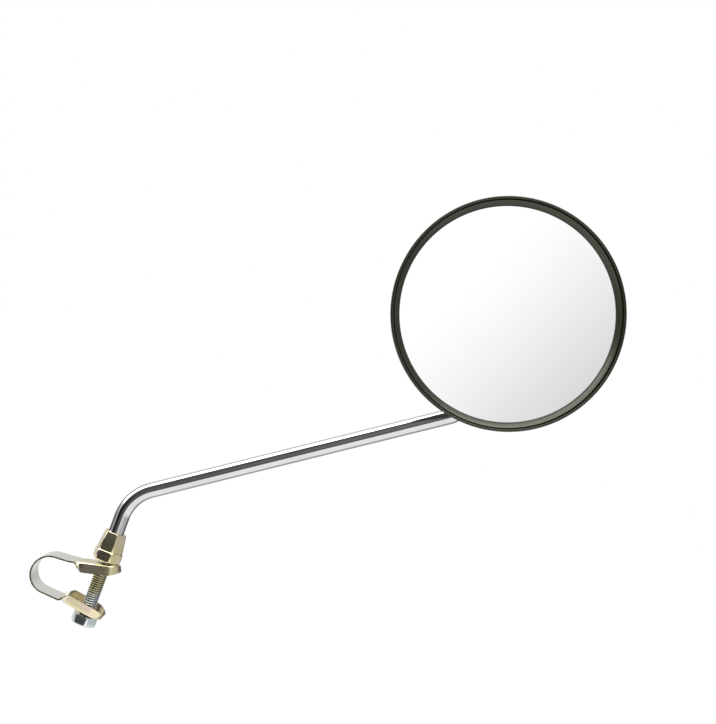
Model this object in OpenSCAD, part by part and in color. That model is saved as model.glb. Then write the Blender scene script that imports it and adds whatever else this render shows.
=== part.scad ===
// Round motorcycle mirror on a bent chromed rod, with a spring-steel handlebar clamp.
// Millimetres. The origin is the centre of the handlebar loop, +Y runs along the
// handlebar away from the mirror's face, and +Z runs up along the clamp bolt.

/* [Handlebar strap] */
// Inner radius of the loop that goes round the handlebar
loop_r = 10; // [9:0.5:12]
// Width of the strap along the handlebar
strap_w = 16; // [15:0.5:18]
// Thickness of the strap's sheet
strap_t = 0.9; // [0.8:0.1:1.4]
// Angle at which the loop's upper side opens
upper_side_tilt = 3; // [2:0.5:6]
// Angle at which the loop's lower side opens
lower_side_tilt = 4; // [2:0.5:6]
// Distance from the loop's centre to the root of the upper ear
upper_root_x = 8; // [7:0.5:10]
// Distance from the loop's centre to the root of the lower ear
lower_root_x = 9.4; // [8:0.2:11]
// Slope of the upper ear
upper_ear_tilt = 13; // [10:1:15]
// Slope of the lower ear
lower_ear_tilt = 9; // [7:1:12]
// Flat length of the upper ear before its folded edge starts
upper_ear_flat = 3; // [1:0.5:4]
// Flat length of the lower ear before its folded edge starts
lower_ear_flat = 0.4; // [0.2:0.2:2]
// Depth of the ears' folded edge, over the sheet
ear_h = 5.8; // [4:0.2:6.4]
// Outer radius of the fold along the ears
fold_r = 2.6; // [1.8:0.2:3.2]
// Length over which the folded edge grows to its full depth
ear_slant = 4.5; // [3:0.5:6]
// Distance from the bolt to the ears' rounded ends
ear_tip = 9.8; // [9:0.2:12]
// Diameter of the bolt holes in the ears
ear_hole_d = 9; // [8.6:0.1:9.6]

/* [Clamp bolt] */
// Distance from the loop's centre to the bolt
bolt_x = 25.9; // [24:0.5:28]
// Diameter of the bolt over its thread
bolt_d = 8; // [7:0.5:8]
// Gap left between the bolt's tip and the end of its bore
bolt_gap = 0.6; // [0.3:0.1:5]
// Width of the bolt's head across its flats
bolt_head_af = 13; // [12:0.5:14]
// Height of the bolt's head
bolt_head_h = 5.7; // [4.5:0.1:6]

/* [Cone nut] */
// Width of the cone nut's base across its flats
cone_af = 14.7; // [14:0.1:16]
// Height of the cone nut's straight base
cone_base_h = 6.3; // [5:0.1:7.5]
// Height of the cone nut's tapered part
cone_taper_h = 10.4; // [9:0.1:13]
// Width of the cone nut's top across its flats
cone_top_af = 11.2; // [10.8:0.1:12]
// Depth to which the rod is pressed into the cone nut
rod_grip = 7.7; // [6:0.1:9]
// Angle of the hexagons about the bolt's axis
hex_turn = 51; // [0:1:59]

/* [Rod] */
// Diameter of the chromed rod
rod_d = 8.9; // [8:0.1:9.2]
// Height of the lower bend's corner above the handlebar's centre
corner_z = 55.9; // [53:0.5:62]
// Slope of the rod's long stretch above +X
arm_tilt = 34.2; // [30:0.5:40]
// Length of the long stretch from corner to corner
arm_len = 195.8; // [170:1:230]
// Length from the upper corner to the ball's centre
top_len = 58; // [56:0.5:66]
// Radius of the lower bend along the rod's middle
lower_bend_r = 24; // [20:1:28]
// Radius of the upper bend along the rod's middle
upper_bend_r = 20; // [15:1:24]

/* [Ball joint] */
// Radius of the ball
ball_r = 8; // [7.5:0.1:8.5]
// Diameter of the rod's reduced end in the ball
neck_d = 6; // [5:0.5:6.5]
// Distance from the ball's centre to the rod's full thickness
neck_len = 13.5; // [12.5:0.5:15]
// Wall of the two plastic cups round the ball
cup_t = 2; // [1.5:0.1:2.2]
// Half angle of each cup as seen from the ball's centre
cup_angle = 38; // [30:1:40]
// Half angle of the socket's opening for the rod
neck_angle = 44; // [42:1:46]
// Running clearance between the ball, the cups and the socket
ball_fit = 0.1; // [0.08:0.01:0.12]
// Wall of the socket outside the cups
socket_t = 3.6; // [3:0.1:4.5]
// Gap that lets the screws draw the socket cap down
socket_gap = 0.4; // [0.3:0.1:0.8]

/* [Socket screws] */
// Diameter of the screws
screw_d = 4; // [3.5:0.5:4]
// Length of the screws' thread that stands out of their nuts
screw_tip = 1.2; // [0.5:0.1:1.5]
// Thickness of the cap's two lugs
lug_t = 4; // [3:0.2:5]

/* [Mirror head] */
// Outer diameter of the head
head_d = 127.5; // [115:0.5:140]
// Distance from the ball's centre to the back of the shell
back_reach = 10.5; // [10.2:0.1:12]
// Rise of the shell's domed back from its middle to the rim
dome_h = 8.5; // [8:0.1:10]
// Wall of the shell
shell_t = 2; // [1.8:0.1:2.4]
// Width of the rim in front of the glass
rim_w = 5; // [4.6:0.1:8]
// Depth of the glass below the front of the rim
glass_inset = 5; // [4:0.2:6]
// Thickness of the glass
glass_t = 3; // [2:0.5:3.5]
// Thickness of the foam pad behind the glass
pad_t = 2; // [1.5:0.1:2.5]
// Radius of the rim's rolled front edge
lip_r = 0.7; // [0.5:0.1:0.9]

/* [Hidden] */
$fn = 96;

// Clearances and small edges
seat_gap = 0.05;
edge = 0.8;
far = 400;
// Overlap of pieces of one solid where they run into each other
lap = 0.1;
// Thinning of the sheet and the rod where they are drawn round a bend
hair = 0.02;

// Strap: outer surface of the loop's sides and of the ears, at a distance x
loop_or = loop_r + strap_t;
function side_z(x, tilt) = (loop_or + x * sin(tilt)) / cos(tilt);
upper_root_z = side_z(upper_root_x, upper_side_tilt);
lower_root_z = side_z(lower_root_x, lower_side_tilt);
function upper_top_z(x) = upper_root_z + (x - upper_root_x) * tan(upper_ear_tilt);
function lower_bottom_z(x) = -lower_root_z - (x - lower_root_x) * tan(lower_ear_tilt);

// Bolt and cone nut, seated on the ears where the hexagons' corners reach furthest
bolt_head_r = bolt_head_af / sqrt(3);
cone_r = cone_af / sqrt(3);
flat_end_x = bolt_x + ear_tip - fold_r;
bolt_seat_z = lower_bottom_z(min(bolt_x + bolt_head_r, flat_end_x)) - seat_gap;
cone_z = upper_top_z(min(bolt_x + cone_r, flat_end_x)) + seat_gap;
cone_break_z = cone_z + cone_base_h;
cone_top_z = cone_break_z + cone_taper_h;
cone_break_af = cone_af - 0.5;
rod_foot_z = cone_top_z - rod_grip;
bolt_bore_d = bolt_d + 2 * seat_gap;
bore_end_z = rod_foot_z - 1;
bolt_len = bore_end_z - bolt_gap - bolt_seat_z;

// Rod: centres of its bends in the XZ plane
bend_angle = 90 - arm_tilt;
bend_d = rod_d - 2 * hair;
lower_bend_z = corner_z - lower_bend_r * tan(bend_angle / 2);
arm_straight = arm_len - (lower_bend_r + upper_bend_r) * tan(bend_angle / 2);
head_x = bolt_x + arm_len * cos(arm_tilt);
upper_bend_z = corner_z + arm_len * sin(arm_tilt) + upper_bend_r * tan(bend_angle / 2);
head_z = corner_z + arm_len * sin(arm_tilt) + top_len;

// Ball joint, from the ball outwards
cup_ir = ball_r + ball_fit;
cup_or = cup_ir + cup_t;
socket_ir = cup_or + ball_fit;
socket_or = socket_ir + socket_t;

// Socket screws, measured forward from the ball's centre
lug_back = -socket_gap / 2 - lug_t;
washer_t = 1;
washer_slit = 0.6;
screw_seat = lug_back - washer_t;
screw_head_r = screw_d * 0.95;
screw_head_h = screw_d * 0.65;
screw_recess_w = 0.9;
screw_hole_d = screw_d + 0.4;
screw_x = sqrt(pow(socket_or, 2) - pow(lug_back, 2)) + screw_head_r + 0.3;
lug_r = screw_head_r + 1.2;
nut_af = screw_d * 1.75;
nut_t = screw_d * 0.8;
nut_edge = 0.3;

// Mirror head, across
head_r = head_d / 2;
view_r = head_r - rim_w;
glass_r = view_r + 1.2;
pad_r = glass_r - 1;
ledge_ir = pad_r - 4;
ring_fit = 0.1;
collar_ir = glass_r + ring_fit;
collar_or = collar_ir + 1.2;
ring_ir = collar_or + ring_fit;

// Mirror head, measured forward from the ball's centre
pad_back = back_reach + dome_h + shell_t;
glass_back = pad_back + pad_t;
glass_front = glass_back + glass_t;
head_reach = glass_front + glass_inset;
dome_r = (pow(collar_or, 2) + pow(dome_h, 2)) / (2 * dome_h);
dome_z = back_reach + dome_r;
edge_r = 2.5;
edge_z = dome_z - sqrt(pow(dome_r - edge_r, 2) - pow(head_r - edge_r, 2));

// Nuts, seated on bosses that just clear the shell's inner wall
inner_r = dome_r - shell_t;
boss_z = back_reach + shell_t / 2;
nut_seat = dome_z - sqrt(pow(inner_r, 2) - pow(screw_x + lug_r, 2)) + 0.2;
screw_len = nut_seat + nut_t + screw_tip - screw_seat;

// Points on an arc, from one angle to another
function arc(x, y, r, from, to, steps = 8) =
    [for (i = [0 : steps]) let (a = from + (to - from) * i / steps) [x + r * cos(a), y + r * sin(a)]];

// Half of an ear's section, web at the top and edge at the side, less a skin drawn off all round
module ear_half_section(drawn = 0) {
    side = strap_w / 2;
    polygon(concat(
        [[0, -drawn]],
        arc(side - fold_r, -fold_r, fold_r - drawn, 90, 0),
        [[side - drawn, drawn - ear_h], [side - strap_t + drawn, drawn - ear_h]],
        arc(side - fold_r, -fold_r, fold_r - strap_t + drawn, 0, 90),
        [[0, drawn - strap_t]]
    ));
}

// One arm of the strap: the loop's straight side and the pressed ear, folded down all round
module strap_arm(root_x, root_z, side_tilt, tilt, flat) {
    run = root_x * cos(side_tilt) + root_z * sin(side_tilt);
    mitre = strap_t * tan((tilt - side_tilt) / 2);
    reach = (bolt_x + ear_tip - strap_w / 2 - root_x) / cos(tilt);
    rotate([0, -side_tilt, 0]) rotate([90, 0, 0]) linear_extrude(strap_w, center = true) polygon([
        [-lap, loop_r], [run + mitre, loop_r], [run + lap, loop_r + strap_t / 2],
        [run, loop_or], [-lap, loop_or]
    ]);
    translate([root_x, 0, root_z]) rotate([0, -tilt, 0]) {
        translate([-mitre, -strap_w / 2, -strap_t]) cube([flat + mitre, strap_w, strap_t]);
        difference() {
            union() {
                translate([flat - lap, 0, 0]) rotate([90, 0, 90]) linear_extrude(reach - flat + 2 * lap) {
                    ear_half_section();
                    mirror([1, 0]) ear_half_section();
                }
                translate([reach, 0, 0]) rotate([0, 0, -90]) rotate_extrude(angle = 180)
                    ear_half_section(hair);
            }
            translate([flat, 0, 0]) rotate([90, 0, 0]) linear_extrude(2 * strap_w, center = true) polygon([
                [0, -strap_t], [ear_slant, -ear_h], [ear_slant, -2 * ear_h],
                [-ear_h, -2 * ear_h], [-ear_h, -strap_t]
            ]);
        }
    }
}

module clamp_strap() {
    color("tan") difference() {
        union() {
            rotate([90, 0, 0]) linear_extrude(strap_w, center = true) difference() {
                circle(loop_or);
                circle(loop_r);
                polygon([
                    [0, 0], far * [-sin(upper_side_tilt), cos(upper_side_tilt)], [far, far],
                    [far, -far], far * [-sin(lower_side_tilt), -cos(lower_side_tilt)]
                ]);
            }
            strap_arm(upper_root_x, upper_root_z, upper_side_tilt, upper_ear_tilt, upper_ear_flat);
            mirror([0, 0, 1])
                strap_arm(lower_root_x, lower_root_z, lower_side_tilt, lower_ear_tilt, lower_ear_flat);
        }
        translate([bolt_x, 0, 0]) cylinder(d = ear_hole_d, h = 4 * loop_or, center = true);
    }
}

// Cylinder with a small cone at each end, which bevels a hexagon's corners
module corner_bevel(r, h, bottom, top) {
    rotate_extrude() polygon([
        [0, 0], [r - bottom, 0], [r, bottom * 0.6], [r, h - top * 0.6], [r - top, h], [0, h]
    ]);
}

module clamp_bolt() {
    color("lightsteelblue") translate([bolt_x, 0, bolt_seat_z]) {
        translate([0, 0, -bolt_head_h]) intersection() {
            rotate(hex_turn) cylinder(r = bolt_head_r, h = bolt_head_h, $fn = 6);
            corner_bevel(bolt_head_r, bolt_head_h, edge, 0);
        }
        rotate_extrude() polygon([
            [0, -edge], [bolt_d / 2, -edge], [bolt_d / 2, bolt_len - edge],
            [bolt_d / 2 - edge, bolt_len], [0, bolt_len]
        ]);
    }
}

// Tapered hexagon, as three wedges that cross, with a foot that sinks into what is under it
module hex_taper(bottom_af, top_af, h) {
    side = bottom_af / 2;
    intersection_for (turn = [0, 60, 120])
        rotate([0, 0, turn + 30]) rotate([90, 0, 0]) linear_extrude(2 * bottom_af, center = true)
            polygon([[-side, -lap], [side, -lap], [side, 0], [top_af / 2, h], [-top_af / 2, h], [-side, 0]]);
}

module cone_nut() {
    color("darkkhaki") translate([bolt_x, 0, 0]) difference() {
        union() {
            translate([0, 0, cone_z]) intersection() {
                rotate(hex_turn) cylinder(r = cone_r, h = cone_base_h, $fn = 6);
                corner_bevel(cone_r, cone_base_h, edge, edge / 2);
            }
            translate([0, 0, cone_break_z]) rotate(hex_turn)
                hex_taper(cone_break_af, cone_top_af, cone_taper_h);
        }
        translate([0, 0, cone_z - 1]) cylinder(d = bolt_bore_d, h = bore_end_z - cone_z + 1);
        translate([0, 0, rod_foot_z]) cylinder(d = rod_d, h = far);
    }
}

// Bent stretch of the rod in the XZ plane, from one angle about its centre to another
module rod_bend(r, from) {
    rotate([90, 0, 0]) rotate([0, 0, from]) rotate_extrude(angle = bend_angle)
        translate([r, 0]) circle(d = bend_d);
}

module stem_rod() {
    arm_x = bolt_x + lower_bend_r * (1 - cos(bend_angle));
    arm_z = lower_bend_z + lower_bend_r * sin(bend_angle);
    top = head_z - upper_bend_z;
    color("gainsboro") {
        translate([bolt_x, 0, rod_foot_z]) cylinder(d = rod_d, h = lower_bend_z - rod_foot_z + lap);
        translate([bolt_x + lower_bend_r, 0, lower_bend_z]) rod_bend(lower_bend_r, 180 - bend_angle);
        translate([arm_x, 0, arm_z]) rotate([0, bend_angle, 0])
            translate([0, 0, -lap]) cylinder(d = rod_d, h = arm_straight + 2 * lap);
        translate([head_x - upper_bend_r, 0, upper_bend_z]) rod_bend(upper_bend_r, -bend_angle);
        translate([head_x, 0, upper_bend_z]) rotate_extrude() polygon([
            [0, -lap], [rod_d / 2, -lap], [rod_d / 2, top - neck_len - edge],
            [neck_d / 2, top - neck_len], [neck_d / 2, top + ball_r / 2], [0, top + ball_r / 2]
        ]);
    }
}

module swivel_ball() {
    color("silver") translate([head_x, 0, head_z]) difference() {
        sphere(ball_r);
        translate([0, 0, -2 * ball_r]) cylinder(d = neck_d, h = 2.5 * ball_r);
    }
}

// Places children at the ball's centre with their z axis pointing forward, out of the mirror's face
module at_head() {
    translate([head_x, 0, head_z]) rotate([90, 0, 0]) children();
}

// Spherical cup whose middle points forward
module socket_cup() {
    intersection() {
        difference() {
            sphere(cup_or);
            sphere(cup_ir);
        }
        cylinder(r1 = 0, r2 = 2 * cup_or * tan(cup_angle), h = 2 * cup_or);
    }
}

module socket_cup_rear() {
    color("ivory") at_head() mirror([0, 0, 1]) socket_cup();
}

module socket_cup_front() {
    color("ivory") at_head() socket_cup();
}

// Opening in the socket through which the rod swings
module neck_opening() {
    rotate([90, 0, 0]) cylinder(r1 = 0, r2 = 3 * socket_or * tan(neck_angle), h = 3 * socket_or);
}

// Children at one or both of the screws
module at_screws(sides = [-1, 1]) {
    for (side = sides) translate([side * screw_x, 0, 0]) children();
}

// Outline of the socket with a lug at each screw
module lug_outline(r) {
    circle(r);
    at_screws() circle(lug_r);
    square([2 * screw_x, 2 * lug_r], center = true);
}

module socket_cap() {
    color("dimgray") at_head() difference() {
        union() {
            difference() {
                sphere(socket_or);
                translate([0, 0, far / 2 - socket_gap / 2]) cube(far, center = true);
            }
            translate([0, 0, lug_back]) linear_extrude(lug_t) lug_outline(socket_or - 1);
        }
        sphere(socket_ir);
        neck_opening();
        at_screws() cylinder(d = screw_hole_d, h = far, center = true);
    }
}

module cap_screw(side) {
    color("silver") at_head() at_screws([side]) difference() {
        translate([0, 0, screw_seat]) rotate_extrude() polygon(concat(
            [[0, screw_len], [screw_d / 2 - 0.4, screw_len], [screw_d / 2, screw_len - 0.4],
            [screw_d / 2, 0], [screw_head_r, 0]],
            arc(screw_head_r - 1, -screw_head_h + 1, 1, 0, -90, 4),
            [[0, -screw_head_h]]
        ));
        for (turn = [0, 90]) rotate(turn)
            translate([0, 0, screw_seat - screw_head_h])
                cube([screw_head_r * 1.2, screw_recess_w, screw_head_h], center = true);
    }
}

module cap_screw_left() { cap_screw(-1); }
module cap_screw_right() { cap_screw(1); }

// Split spring washer under the screw's head
module lock_washer(side) {
    color("silver") at_head() at_screws([side]) translate([0, 0, screw_seat]) difference() {
        cylinder(r = screw_head_r, h = washer_t);
        cylinder(d = screw_hole_d, h = 4 * washer_t, center = true);
        rotate([0, 30, 0]) translate([0, -screw_head_r, 0])
            cube([washer_slit, 2 * screw_head_r, 6 * washer_t], center = true);
    }
}

module lock_washer_left() { lock_washer(-1); }
module lock_washer_right() { lock_washer(1); }

// Nut in front of the shell's wall, behind the glass
module cap_nut(side) {
    color("silver") at_head() at_screws([side]) translate([0, 0, nut_seat]) difference() {
        intersection() {
            cylinder(r = nut_af / sqrt(3), h = nut_t, $fn = 6);
            corner_bevel(nut_af / sqrt(3), nut_t, nut_edge, nut_edge);
        }
        cylinder(d = screw_d, h = 4 * nut_t, center = true);
    }
}

module cap_nut_left() { cap_nut(-1); }
module cap_nut_right() { cap_nut(1); }

// Half section of the shell: domed wall, rounded edge, ledge for the pad and collar for the rim
module shell_half_section() {
    outer_end = asin((head_r - edge_r) / (dome_r - edge_r));
    inner_end = asin(ledge_ir / inner_r);
    polygon(concat(
        arc(0, dome_z, dome_r, -90, -90 + outer_end, 12),
        arc(head_r - edge_r, edge_z, edge_r, -90 + outer_end, 0, 6),
        [[collar_or, edge_z], [collar_or, glass_front - seat_gap], [collar_ir, glass_front - seat_gap],
        [collar_ir, pad_back], [ledge_ir, pad_back]],
        arc(0, dome_z, inner_r, -90 + inner_end, -90, 12)
    ));
}

module back_shell() {
    color("#202018") at_head() {
        difference() {
            union() {
                rotate_extrude($fn = 180) shell_half_section();
                difference() {
                    translate([0, 0, socket_gap / 2])
                        linear_extrude(boss_z - socket_gap / 2) lug_outline(socket_or);
                    neck_opening();
                }
                at_screws() translate([0, 0, boss_z]) cylinder(r = lug_r, h = nut_seat - boss_z);
            }
            sphere(socket_ir);
            at_screws() cylinder(d = screw_hole_d, h = far, center = true);
        }
    }
}

module glass_pad() {
    color("gray") at_head() translate([0, 0, pad_back]) cylinder(r = pad_r, h = pad_t, $fn = 180);
}

module mirror_glass() {
    color("aliceblue") at_head() translate([0, 0, glass_back]) rotate_extrude($fn = 180) polygon([
        [0, 0], [glass_r, 0], [glass_r, glass_t - edge / 2], [glass_r - edge / 2, glass_t], [0, glass_t]
    ]);
}

module rim_ring() {
    color("#28281e") at_head() rotate_extrude($fn = 180) polygon(concat(
        [[ring_ir, edge_z], [head_r, edge_z]],
        arc(head_r - lip_r, head_reach - lip_r, lip_r, 0, 135, 6),
        [[view_r, glass_front + edge], [view_r, glass_front], [ring_ir, glass_front]]
    ));
}

clamp_strap();
clamp_bolt();
cone_nut();
stem_rod();
swivel_ball();
socket_cup_rear();
socket_cup_front();
socket_cap();
cap_screw_left();
cap_screw_right();
lock_washer_left();
lock_washer_right();
cap_nut_left();
cap_nut_right();
back_shell();
glass_pad();
mirror_glass();
rim_ring();
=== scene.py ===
import math

import bmesh
import bpy
from mathutils import Matrix, Vector


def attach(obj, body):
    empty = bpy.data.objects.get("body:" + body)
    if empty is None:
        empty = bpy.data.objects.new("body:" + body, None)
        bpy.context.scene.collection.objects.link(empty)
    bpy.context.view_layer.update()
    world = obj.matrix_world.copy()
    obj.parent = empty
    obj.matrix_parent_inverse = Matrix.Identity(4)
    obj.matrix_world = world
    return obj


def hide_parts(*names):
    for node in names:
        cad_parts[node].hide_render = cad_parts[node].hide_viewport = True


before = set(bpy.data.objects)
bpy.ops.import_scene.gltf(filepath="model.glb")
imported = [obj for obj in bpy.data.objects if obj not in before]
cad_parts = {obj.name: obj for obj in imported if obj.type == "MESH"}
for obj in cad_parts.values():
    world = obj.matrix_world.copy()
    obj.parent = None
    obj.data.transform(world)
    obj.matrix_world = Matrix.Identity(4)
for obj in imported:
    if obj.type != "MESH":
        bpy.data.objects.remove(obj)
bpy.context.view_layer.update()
scene = bpy.context.scene
scene.view_settings.view_transform = "Standard"

# Camera: it stands 0.68 m in front of the handlebar's end, a little above and to the right of
# the clamp, and is rolled by 20 degrees, so that the rod runs flatter than it really does.
camera_x, camera_y, camera_z, roll = 0.1206, -0.6814, 0.1714, math.radians(20.3)
camera = bpy.data.objects.new("camera", bpy.data.cameras.new("camera"))
scene.collection.objects.link(camera)
camera.data.sensor_width = 36
camera.data.lens = 60
camera.data.clip_start, camera.data.clip_end = 0.05, 20
camera.matrix_world = Matrix((
    (math.cos(roll), -math.sin(roll), 0, camera_x),
    (0, 0, -1, camera_y),
    (math.sin(roll), math.cos(roll), 0, camera_z),
    (0, 0, 0, 1),
))
scene.camera = camera


# Studio: a white room with one dark side left of the camera, which gives the chrome its dark
# stripe, a bright panel along the ceiling and two dark screens behind. The mirror alone meets a
# wide soft lamp instead, which fades towards its right and its foot.
class Wire:
    """An output socket, with arithmetic that adds Math nodes to its tree."""

    def __init__(self, tree, socket=None):
        self.tree, self.socket = tree, socket

    def node(self, kind, settings, inputs, output=0):
        """A new node, with its settings and then its sockets set or linked, and one output."""
        made = self.tree.nodes.new(kind)
        for name, value in settings.items():
            setattr(made, name, value)
        for name, value in inputs.items():
            if isinstance(value, Wire):
                self.tree.links.new(value.socket, made.inputs[name])
            elif isinstance(value, tuple):
                made.inputs[name].default_value = (*value, 1)
            else:
                made.inputs[name].default_value = value
        return Wire(self.tree, made.outputs[output]) if made.outputs else None

    def maths(self, operation, *values):
        return self.node("ShaderNodeMath", {"operation": operation}, dict(enumerate(values)))

    def step(self, start, end):
        """0 where this is at start, 1 at end, and smooth between them."""
        return self.node("ShaderNodeMapRange", {"interpolation_type": "SMOOTHSTEP"},
                         {0: self, 1: start, 2: end})

    def blend(self, low, high):
        """The colour low where this is 0, and high where it is 1."""
        return self.node("ShaderNodeMix", {"data_type": "RGBA"}, {0: self, 6: low, 7: high}, 2)

    def __add__(self, other):
        return self.maths("ADD", self, other)

    def __sub__(self, other):
        return self.maths("SUBTRACT", self, other)

    def __rsub__(self, other):
        return self.maths("SUBTRACT", other, self)

    def __mul__(self, other):
        return self.maths("MULTIPLY", self, other)

    def __truediv__(self, other):
        return self.maths("DIVIDE", self, other)

    def __rtruediv__(self, other):
        return self.maths("DIVIDE", other, self)

    __radd__ = __add__
    __rmul__ = __mul__


world = bpy.data.worlds.new("studio")
world.use_nodes = True
world.node_tree.nodes.clear()
scene.world = world
air = Wire(world.node_tree)
towards = air.node("ShaderNodeTexCoord", {}, {}, "Generated")
right, along, up = (air.node("ShaderNodeSeparateXYZ", {}, {0: towards}, i) for i in range(3))
front = 0 - along
degrees = 180 / math.pi
azimuth = air.maths("ARCTAN2", right, front) * degrees
height = air.maths("ARCSINE", up) * degrees

room = 1.1 - front.step(0.05, -0.3) * 0.29
room = room - along.step(0.85, 0.95) * height.step(-8, 12) * 0.16
room = room - right.step(0.25, 0.8) * height.step(-20, -11) * 0.5
room = room - right.step(-0.86, -0.96) * 0.12
room = room - right.step(-0.6, -0.95) * height.step(10, -12) * 0.6
room = room - right.step(0.1, 0.4) * along.step(0.0, 0.3) * height.step(-26, -40) * 0.35

overhead = air.maths("ARCTAN2", up, 0 - right) * degrees
panel = overhead.step(2, 14) * overhead.step(118, 100)
panel = panel * front.step(0.58, 0.46) * front.step(-0.3, -0.2)
room = room + panel * 3.2

dark_x, dark_z = (azimuth + 21) / 49, (height - 15) / 44
dark_side = air.maths("SQRT", dark_x * dark_x + dark_z * dark_z).step(1.06, 0.92)
gloom = 0.015 + azimuth.step(-30, -8) * height.step(-22, -12) * 0.11
gloom = gloom + height.step(-10, 20) * 0.09 + height.step(-19, -26) * 0.08
room = room * (1 - dark_side) + dark_side * gloom

right_screen = azimuth.step(122, 130) * azimuth.step(162, 156) * height.step(60, 50)
left_screen = azimuth.step(-133, -127) * azimuth.step(-105, -112) * height.step(42, 34)
screens = (right_screen + left_screen) * height.step(-40, -30)
room = room * (1 - screens * 0.85)

in_mirror = air.node("ShaderNodeLightPath", {}, {}, "Is Singular Ray")
soft_lamp = 1.07 - (right * 0.908 - up * 0.418).step(0.0, 0.20) * 0.40
soft_lamp = soft_lamp * (1 - right.step(-0.06, -0.5) * 0.4)
soft_lamp = soft_lamp * (1 - up.step(-0.04, -0.5) * 0.3)
room = room * (1 - in_mirror) + in_mirror * soft_lamp

seen = air.node("ShaderNodeLightPath", {}, {}, "Is Camera Ray")
mirrored = air.node("ShaderNodeLightPath", {}, {}, "Is Glossy Ray")
level = seen + mirrored * room + (1 - air.maths("MINIMUM", seen + mirrored, 1.0)) * 0.95
sky = air.node("ShaderNodeBackground", {}, {"Color": (1.0, 1.0, 1.0), "Strength": level})
air.node("ShaderNodeOutputWorld", {}, {"Surface": sky})

floor_mesh = bpy.data.meshes.new("floor")
form = bmesh.new()
bmesh.ops.create_grid(form, x_segments=1, y_segments=1, size=6)
form.to_mesh(floor_mesh)
form.free()
floor = bpy.data.objects.new("floor", floor_mesh)
floor.location = (0.12, 0, -0.25)
scene.collection.objects.link(floor)
floor.visible_glossy = False
paint = bpy.data.materials.new("floor_paint")
paint.use_nodes = True
paint.node_tree.nodes.clear()
ground = Wire(paint.node_tree)
seen = ground.node("ShaderNodeLightPath", {}, {}, "Is Camera Ray")
chalk = ground.node("ShaderNodeBsdfDiffuse", {}, {"Color": (0.9, 0.9, 0.9)})
white = ground.node("ShaderNodeEmission", {}, {"Color": (1.0, 1.0, 1.0), "Strength": 1.05})
cover = ground.node("ShaderNodeMixShader", {}, {0: seen * 0.85, 1: chalk, 2: white})
ground.node("ShaderNodeOutputMaterial", {}, {"Surface": cover})
floor_mesh.materials.append(paint)

lamp_aim = Vector((0.12, 0, 0.1))
lamp = bpy.data.objects.new("key_light", bpy.data.lights.new("key_light", "AREA"))
lamp.data.shape = "RECTANGLE"
lamp.data.size, lamp.data.size_y = 1.2, 0.8
lamp.data.energy = 9
lamp.location = (-0.7, -0.9, 1.2)
lamp.rotation_mode = "QUATERNION"
lamp.rotation_quaternion = (lamp.location - lamp_aim).to_track_quat("Z", "Y")
lamp.visible_glossy = False
scene.collection.objects.link(lamp)

# Handlebar strap: spring steel sheet 0.9 mm thick, bent into a loop. Its ends are pressed into
# boat-shaped ears with holes for the bolt. It is zinc plated and passivated to pale straw.
strap_half, sheet, loop_r = 8.0, 0.9, 10.9
upper_side, lower_side, crease = 3, 4, 1.6
fold_r, fold_angle, ear_depth = 1.25, math.radians(82), 5.8
fold_lead, ear_slant, skirt_trim = 0.4, 4.6, 0.4
web_points, fold_points, skirt_points = 8, 8, 4
bolt_x, hole_r, ear_past_bolt = 25.9, 4.5, 9.8


def new_material(name):
    """A material, its shader, and the place on the piece that its patterns follow."""
    material = bpy.data.materials.new(name)
    material.use_nodes = True
    place = Wire(material.node_tree).node("ShaderNodeTexCoord", {}, {}, "Object")
    return material, material.node_tree.nodes["Principled BSDF"], place


def noise(place, scale, detail):
    return place.node("ShaderNodeTexNoise", {},
                      {"Vector": place, "Scale": scale, "Detail": detail})


def feed(shader, **sockets):
    """Links what changes over the surface, and sets the numbers and colours that don't."""
    for name, value in sockets.items():
        socket = shader.inputs[name.replace("_", " ")]
        if isinstance(value, Wire):
            shader.id_data.links.new(value.socket, socket)
        else:
            socket.default_value = value


def new_piece(name, form, stands_for, body, slot, *materials, sharp=0.6):
    """A mesh from millimetre coordinates, whose edges sharper than an angle stay crisp."""
    bmesh.ops.remove_doubles(form, verts=form.verts, dist=0.002)
    bmesh.ops.recalc_face_normals(form, faces=form.faces)
    bmesh.ops.scale(form, vec=(0.001, 0.001, 0.001), verts=form.verts)
    for face in form.faces:
        face.smooth = True
    for edge in form.edges:
        edge.smooth = len(edge.link_faces) == 2 and edge.calc_face_angle() < sharp
    mesh = bpy.data.meshes.new(name)
    form.to_mesh(mesh)
    form.free()
    piece = bpy.data.objects.new(name, mesh)
    scene.collection.objects.link(piece)
    for material in materials:
        mesh.materials.append(material)
    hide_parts(stands_for)
    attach(piece, body)
    return piece


def skin(form, rows, closed=False):
    """Faces between rows of points, which may close on themselves."""
    made = [[form.verts.new(point) for point in row] for row in rows]
    for row, following in zip(made, made[1:]):
        count = len(row) if closed else len(row) - 1
        for k in range(count):
            after = (k + 1) % len(row)
            corners = (row[k], row[after], following[after], following[k])
            if len({tuple(round(c, 4) for c in v.co) for v in corners}) > 2:
                form.faces.new(corners)
    return made


def smooth(x):
    x = min(max(x, 0), 1)
    return x * x * (3 - 2 * x)


def ear_profile():
    """Half section of an ear, as places across and down from its middle."""
    skirt = (ear_depth - fold_r) / math.sin(fold_angle)
    web = strap_half - fold_r * math.sin(fold_angle) - skirt * math.cos(fold_angle)
    points = [(web * k / (web_points - 1), 0.0) for k in range(web_points)]
    for k in range(1, fold_points + 1):
        turn = fold_angle * k / fold_points
        points.append((web + fold_r * math.sin(turn), fold_r * (math.cos(turn) - 1)))
    across, down = points[-1]
    for k in range(1, skirt_points + 1):
        run = skirt * k / skirt_points
        points.append((across + run * math.cos(fold_angle), down - run * math.sin(fold_angle)))
    return points


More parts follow.
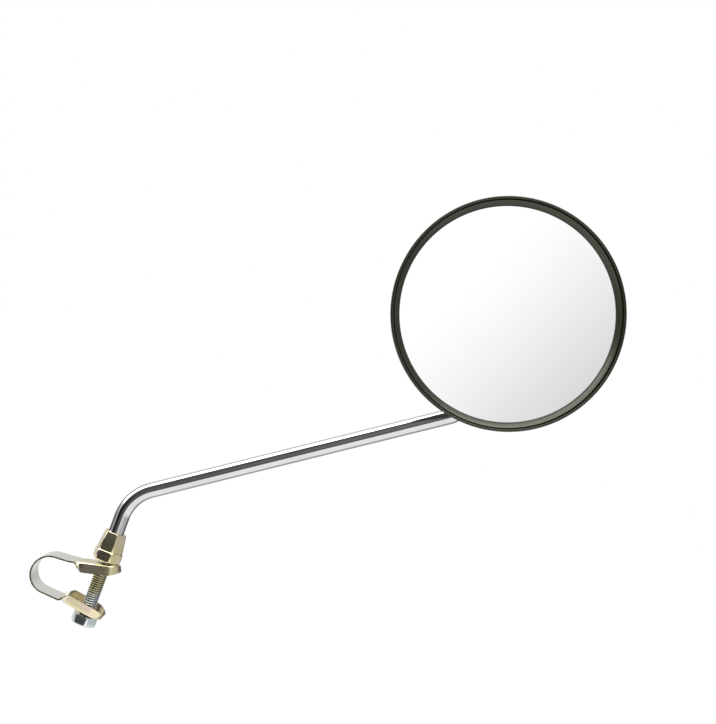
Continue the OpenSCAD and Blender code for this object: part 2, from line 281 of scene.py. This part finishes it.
profile = ear_profile()
fold_end = profile[web_points + fold_points - 1][1]
lengths = [0.0]
for (y0, z0), (y1, z1) in zip(profile, profile[1:]):
    lengths.append(lengths[-1] + math.hypot(y1 - y0, z1 - z0))


def strap_row(middle, outward, fold):
    """One row of points across the strap, flat at fold 0 and an ear's section at 1."""
    row = []
    for side in (-1, 1):
        half = []
        for (y, z), length in zip(profile, lengths):
            flat = strap_half * length / lengths[-1]
            across, down = flat + (y - flat) * fold, z * fold
            half.append(Vector((middle.x + outward.x * down, side * across,
                                middle.z + outward.z * down)))
        row = half[::-1] if side < 0 else row + half[1:]
    return row


def strap_arm(side_tilt, ear_tilt, root_x, flat):
    """Rows of one arm from the loop to the tip's centre, then the tip's own fan of rows."""
    tilt, slope = math.radians(side_tilt), math.radians(ear_tilt)
    side_out = Vector((-math.sin(tilt), 0, math.cos(tilt)))
    side_run = Vector((math.cos(tilt), 0, math.sin(tilt)))
    ear_out = Vector((-math.sin(slope), 0, math.cos(slope)))
    ear_run = Vector((math.cos(slope), 0, math.sin(slope)))
    root = Vector((root_x, 0, (loop_r + root_x * math.sin(tilt)) / math.cos(tilt)))
    side_len = (root - side_out * loop_r).dot(side_run)
    reach = (bolt_x + ear_past_bolt - strap_half - root_x) / math.cos(slope)

    def folded(run):
        return smooth((run - flat + fold_lead) / ear_slant)

    grid = []
    for k in range(7):
        run = (side_len - crease) * k / 6
        grid.append(strap_row(side_out * loop_r + side_run * run, side_out, 0.0))
    for k in range(1, 6):
        t = k / 6
        bend = ((root - side_run * crease) * (1 - t) ** 2 + root * 2 * t * (1 - t)
                + (root + ear_run * crease) * t * t)
        outward = (side_out * (1 - t) + ear_out * t).normalized()
        grid.append(strap_row(bend, outward, folded(crease * (2 * t - 1))))
    steps = [crease + 0.45 * k for k in range(13)]
    steps += [steps[-1] + (reach - steps[-1]) * k / 10 for k in range(1, 11)]
    for run in steps:
        grid.append(strap_row(root + ear_run * run, ear_out, folded(run)))

    centre = root + ear_run * reach
    fan = []
    for k in range(37):
        turn = math.radians(-90 + 180 * k / 36)
        trim = 1 - skirt_trim * math.cos(turn) ** 2
        row = []
        for y, z in profile:
            depth = max(z, fold_end) + min(z - fold_end, 0) * trim
            across = Vector((0, y * math.sin(turn), 0))
            row.append(centre + ear_run * (y * math.cos(turn)) + across + ear_out * depth)
        fan.append(row)
    return grid, fan


def turned_over(rows):
    return [[Vector((p.x, p.y, -p.z)) for p in row] for row in rows]


upper_grid, upper_fan = strap_arm(upper_side, 13, 8.0, 3.0)
lower_grid, lower_fan = map(turned_over, strap_arm(lower_side, 9, 9.4, 0.4))
loop_start, loop_end = 90 + upper_side, 270 - lower_side
loop = []
for k in range(1, 48):
    turn = math.radians(loop_start + (loop_end - loop_start) * k / 48)
    outward = Vector((math.cos(turn), 0, math.sin(turn)))
    loop.append(strap_row(outward * loop_r, outward, 0.0))
form = bmesh.new()
skin(form, upper_grid[::-1] + loop + lower_grid)
skin(form, upper_fan)
skin(form, lower_fan)

zinc, shader, place = new_material("yellow_zinc")
film, grain = noise(place, 90, 3), noise(place, 1500, 4)
from_loop = place.node("ShaderNodeSeparateXYZ", {}, {0: place}, "X")
pale = film.step(0.35, 0.6).blend((0.86, 0.87, 0.77), (0.88, 0.86, 0.80))
straw = film.step(0.4, 0.62).blend((0.79, 0.72, 0.43), (0.85, 0.73, 0.58))
ripple = {"Strength": 0.05, "Distance": 0.0001, "Height": grain}
feed(shader, Base_Color=(from_loop + film * 0.006).step(0.010, 0.019).blend(pale, straw),
     Roughness=0.16 + grain * 0.14, Normal=grain.node("ShaderNodeBump", {}, ripple), Metallic=1)
# The sheet's cut edge, which the thickness modifier's rim faces carry, is coloured dark brown.
# This is the raw sheared steel, darkened further as painted shade along the sheet's thickness.
shaded_cut, shader, place = new_material("sheared_edge_shade")
tear = noise(place, 700, 5)
feed(shader, Base_Color=tear.step(0.4, 0.62).blend((0.16, 0.13, 0.10), (0.42, 0.37, 0.28)),
     Roughness=0.3 + tear * 0.3, Metallic=1)
strap = new_piece("strap_sheet", form, "clamp_strap", "clamp", "yellow_zinc", zinc, shaded_cut,
                  sharp=1.2)
thick = strap.modifiers.new("thickness", "SOLIDIFY")
thick.thickness, thick.offset, thick.use_even_offset = sheet / 1000, -1, True
thick.material_offset_rim = 1
drill_form = bmesh.new()
bmesh.ops.create_cone(drill_form, cap_ends=True, segments=64, radius1=hole_r / 1000,
                      radius2=hole_r / 1000, depth=0.08,
                      matrix=Matrix.Translation((bolt_x / 1000, 0, 0)))
drill_mesh = bpy.data.meshes.new("drill")
drill_form.to_mesh(drill_mesh)
drill_form.free()
drill = bpy.data.objects.new("drill", drill_mesh)
scene.collection.objects.link(drill)
holes = strap.modifiers.new("holes", "BOOLEAN")
holes.object, holes.solver = drill, "EXACT"
edges = strap.modifiers.new("edges", "BEVEL")
edges.width, edges.segments, edges.harden_normals = 0.00012, 2, True
edges.limit_method, edges.angle_limit = "ANGLE", math.radians(50)
bpy.context.view_layer.update()
baked = strap.evaluated_get(bpy.context.evaluated_depsgraph_get())
strap.data = bpy.data.meshes.new_from_object(baked)
strap.modifiers.clear()
bpy.data.objects.remove(drill)

# Cone nut: turned and milled from hexagon bar, and plated as the strap is. The rod is pressed
# into its tapered top, and its base is tapped for the bolt.
base, shoulder, top = 17.18, 23.48, 33.88
facet_turn, corner_power = 81, 34
facet_angles = (-30, -29.3, -28.5, -27.5, -26, -23, -18, -12, -6,
                0, 6, 12, 18, 23, 26, 27.5, 28.5, 29.3)


def hexagon(form, rows):
    """Skin of a hexagonal bar on the bolt's axis. Each row is a height, a width across flats
    and the radius to which the corners are turned."""
    made = []
    for z, flats, limit in rows:
        ring = []
        for angle in (60 * face + step for face in range(6) for step in facet_angles):
            total = sum(max(0.0, math.cos(math.radians(angle - 60 * k))) ** corner_power
                        for k in range(6))
            r = min(flats / 2 / total ** (1 / corner_power), limit)
            a = math.radians(angle + facet_turn)
            ring.append((bolt_x + r * math.cos(a), r * math.sin(a), z))
        made.append(ring)
    skin(form, made, closed=True)


form = bmesh.new()
hexagon(form, [
    (base + 6, 8.1, 4.1), (base, 8.1, 4.1), (base, 13.2, 6.6), (base, 13.7, 7.3),
    (base + 0.07, 13.85, 7.4), (base + 0.42, 14.6, 7.8), (base + 0.52, 14.7, 7.95),
    (base + 0.75, 14.7, 8.15), (base + 1.0, 14.7, 8.32), (shoulder - 1.1, 14.7, 8.32),
    (shoulder - 0.8, 14.7, 8.15), (shoulder - 0.55, 14.7, 7.95), (shoulder - 0.42, 14.67, 7.82),
    (shoulder - 0.34, 14.57, 7.72), (shoulder - 0.08, 13.98, 7.5), (shoulder + 0.05, 13.88, 7.55),
    (shoulder + 0.5, 13.77, 7.8), (shoulder + 5, 12.7, 9.0), (top - 0.4, 11.3, 9.0),
    (top - 0.15, 11.15, 6.2), (top, 10.8, 5.95), (top, 8.9, 4.45), (top - 1.5, 8.9, 4.45),
])
new_piece("cone_nut_body", form, "cone_nut", "stem", "yellow_zinc", zinc)

# Clamp bolt: an M8 bolt threaded to its head, in steel with a clear, slightly blue zinc plating.
# It passes up through both ears into the cone nut and draws the strap shut.
seat, under, tip = -15.38, -21.08, 24.58
bolt_r, core_r, pitch, point, around = 4.0, 3.3, 1.25, 0.8, 40
thread = (3.28, 3.28, 3.36, 3.58, 3.80, 3.96, 4.0, 3.90, 3.68, 3.44)
form = bmesh.new()
hexagon(form, [
    (seat, 8.0, 4.0), (seat, 12.2, 6.15), (seat - 0.15, 12.75, 6.9), (seat - 0.5, 13.0, 7.4),
    (under + 1.0, 13.0, 7.4), (under + 0.7, 13.0, 7.15), (under + 0.4, 12.9, 6.9),
    (under + 0.15, 12.6, 6.5), (under, 12.0, 6.05), (under, 6.0, 3.0), (under, 0.02, 0.01),
])
rows = []
for k in range(int((tip - 1 - seat) / pitch) * len(thread) + 1):
    row = []
    for n in range(around + 1):
        a = 2 * math.pi * n / around
        z = seat + 0.02 + pitch * (k / len(thread) + n / around)
        r = thread[k % len(thread)]
        if z >= tip - point:
            r = min(r, bolt_r - (z - tip + point) * 0.8)
        row.append((bolt_x + r * math.cos(a), r * math.sin(a), min(z, tip)))
    rows.append(row)
skin(form, rows)
rows = []
for r, z in ((core_r, seat - 0.2), (core_r, tip - 0.1), (3.0, tip), (0.01, tip)):
    rows.append([(bolt_x + r * math.cos(a), r * math.sin(a), z)
                 for a in (2 * math.pi * n / around for n in range(around))])
skin(form, rows, closed=True)

bright, shader, place = new_material("bright_zinc")
cloud, grain = noise(place, 150, 3), noise(place, 1600, 4)
across, along, up = (place.node("ShaderNodeSeparateXYZ", {}, {0: place}, i) for i in range(3))
across = across - bolt_x / 1000
from_axis = place.maths("SQRT", across * across + along * along)
# Painted shade: the thread's roots, between 3.0 and 3.9 mm from the axis, are darkened towards
# near black and made rougher, standing in for the shade in the thread's grooves.
painted_thread_shade = from_axis.step(0.0039, 0.0034) * from_axis.step(0.0030, 0.0032)
blue = cloud.step(0.35, 0.65).blend((0.78, 0.87, 0.87), (0.86, 0.88, 0.93))
stain_height = up + cloud * 0.008
stain = stain_height.step(0.0, 0.006) * stain_height.step(0.021, 0.014) * 0.8
plated = stain.blend(blue, (0.72, 0.67, 0.40))
feed(shader, Base_Color=(painted_thread_shade * 0.7).blend(plated, (0.10, 0.10, 0.08)),
     Roughness=0.16 + grain * 0.14 + painted_thread_shade * 0.2, Metallic=1)
new_piece("bolt_body", form, "clamp_bolt", "bolt", "bright_zinc", bright)

# Rod: steel bar 8.9 mm thick, bent cold at two corners, then polished and chromed. Its foot is
# pressed into the cone nut, and its upper end is turned down to the neck that carries the ball.
rod_r, lower_r, upper_r, bend = 4.45, 24.0, 20.0, math.radians(55.8)
foot_z, foot_len, lower_bend_z, long_run = 26.2, 17, 43.19, 172.5
head_x, upper_bend_z, upper_len = 187.842, 176.545, 33.1
neck = ((210.15, 3.95), (210.35, 3.3), (210.55, 3.02), (211.0, 3.0), (227.9, 3.0))
rows = [(bolt_x, foot_z + foot_len * k / 6, 0.0, rod_r) for k in range(7)]
for k in range(1, 37):
    turn = bend * k / 36
    rows.append((bolt_x + lower_r * (1 - math.cos(turn)), lower_bend_z + lower_r * math.sin(turn),
                 turn, rod_r))
low_x, low_z = rows[-1][:2]
for k in range(1, 40):
    run = long_run * k / 40
    rows.append((low_x + run * math.sin(bend), low_z + run * math.cos(bend), bend, rod_r))
for k in range(37):
    turn = bend * (1 - k / 36)
    rows.append((head_x - upper_r * (1 - math.cos(turn)), upper_bend_z - upper_r * math.sin(turn),
                 turn, rod_r))
rows += [(head_x, upper_bend_z + upper_len * k / 6, 0.0, rod_r) for k in range(1, 7)]
rows += [(head_x, z, 0.0, r) for z, r in neck]
rings = []
for x, z, lean, r in rows:
    rings.append([(x + r * math.cos(a) * math.cos(lean), r * math.sin(a),
                   z - r * math.cos(a) * math.sin(lean))
                  for a in (math.radians(5 * n) for n in range(72))])
form = bmesh.new()
ends = skin(form, rings, closed=True)
form.faces.new(ends[0])
form.faces.new(ends[-1])
chrome, shader, place = new_material("chrome_plate")
haze = noise(place, 60, 5)
feed(shader, Base_Color=haze.step(0.3, 0.7).blend((0.66, 0.66, 0.67), (0.70, 0.70, 0.71)),
     Roughness=0.03 + haze.step(0.5, 0.8) * 0.05, Metallic=1)
new_piece("polished_rod", form, "stem_rod", "stem", "chrome_plate", chrome)


# Ball: turned steel, 16 mm across, pressed on the rod's neck. It is greased, and shows the fine
# rings that the tool leaves.
def dress(node, material):
    """Gives a solid of the frame its finish."""
    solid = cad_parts[node]
    solid.data.materials.clear()
    solid.data.materials.append(material)


turned, shader, place = new_material("turned_steel")
tool_rings = place.node("ShaderNodeTexWave", {"bands_direction": "Z"},
                        {"Vector": place, "Scale": 800, "Distortion": 0.3})
feed(shader, Base_Color=tool_rings.blend((0.55, 0.55, 0.56), (0.68, 0.68, 0.69)),
     Roughness=0.2 + tool_rings * 0.1, Metallic=1)
dress("swivel_ball", turned)

# Cups: two moulded nylon cups, 2 mm thick. One lies before the ball and one behind it, and they
# grip it firmly enough to hold the head where it is set.
nylon, shader, place = new_material("cup_nylon")
cloud = noise(place, 300, 4)
feed(shader, Base_Color=cloud.blend((0.78, 0.77, 0.70), (0.84, 0.83, 0.77)),
     Roughness=0.4 + cloud * 0.15)
dress("socket_cup_rear", nylon)
dress("socket_cup_front", nylon)

# Socket cap and shell: black polypropylene with a moulded grain. The front half of the socket
# stands on the back of the shell, and the cap is the rear half.
moulded, shader, place = new_material("black_moulding")
pebbles = place.node("ShaderNodeTexVoronoi", {"feature": "SMOOTH_F1"},
                     {"Vector": place, "Scale": 1600})
cloud = noise(place, 40, 3)
relief = {"Strength": 0.25, "Distance": 0.0001, "Height": pebbles}
feed(shader, Base_Color=cloud.blend((0.018, 0.018, 0.016), (0.030, 0.030, 0.026)),
     Roughness=0.42 + cloud * 0.16, Normal=pebbles.node("ShaderNodeBump", {}, relief))
dress("socket_cap", moulded)
dress("back_shell", moulded)

# Cap screws, spring washers and nuts: 4 mm steel, zinc plated as the bolt is. They pass through
# the cap's two lugs into the shell, and draw the socket shut on the cups.
for name in ("cap_screw_left", "cap_screw_right", "lock_washer_left", "lock_washer_right",
             "cap_nut_left", "cap_nut_right"):
    dress(name, bright)

# Pad: a disc of closed-cell foam, 2 mm thick, between the shell and the glass. It keeps the glass
# from rattling, and doesn't show.
foam, shader, place = new_material("foam")
cells = place.node("ShaderNodeTexVoronoi", {}, {"Vector": place, "Scale": 1500})
feed(shader, Base_Color=cells.blend((0.10, 0.10, 0.10), (0.20, 0.20, 0.20)), Roughness=0.9)
dress("glass_pad", foam)

# Mirror: flat glass 3 mm thick, cut round and silvered. The pad presses it forward against the
# lip of the rim. It is quite smooth, since the studio's soft lamp shows only in such a surface.
silvered, shader, place = new_material("silvered_glass")
smear = noise(place, 25, 4)
feed(shader, Base_Color=smear.blend((0.93, 0.94, 0.935), (0.95, 0.955, 0.95)), Roughness=0,
     Metallic=1)
dress("mirror_glass", silvered)

# Rim: satin black moulding that clips over the shell's collar and holds the glass. Its inner wall
# slopes up from the glass to a groove, and a rolled bead runs round the outside.
head_z = 223.956
bead = [(63.03 + 0.72 * math.cos(math.radians(a)), 30.25 + 0.75 * math.sin(math.radians(a)))
        for a in range(0, 201, 20)]
groove = [(62.3, 29.8), (62.27, 29.0), (62.15, 28.7), (61.87, 28.7), (61.77, 29.0), (61.73, 29.35)]
inner_wall = [(61.6, 29.5), (61.3, 29.3), (60.4, 28.42), (59.6, 27.65), (59.1, 27.12),
              (58.85, 26.8), (58.75, 26.5), (58.75, 26.0), (61.4, 26.0)]
collar = [(61.4, 21.6), (63.55, 21.6), (63.75, 21.8), (63.75, 30.2)]
rings = []
for r, depth in collar + bead + groove + inner_wall + collar[:1]:
    rings.append([(head_x + r * math.cos(a), -depth, head_z + r * math.sin(a))
                  for a in (math.radians(2 * n) for n in range(180))])
form = bmesh.new()
skin(form, rings, closed=True)
rim, shader, place = new_material("rim_moulding")
cloud = noise(place, 60, 4)
feed(shader, Base_Color=cloud.blend((0.007, 0.007, 0.003), (0.014, 0.014, 0.007)),
     Roughness=0.22 + cloud * 0.10, IOR=1.62, Specular_Tint=(1.0, 0.98, 0.84, 1))
new_piece("rim_bead", form, "rim_ring", "head", "rim_plastic", rim, sharp=0.9)
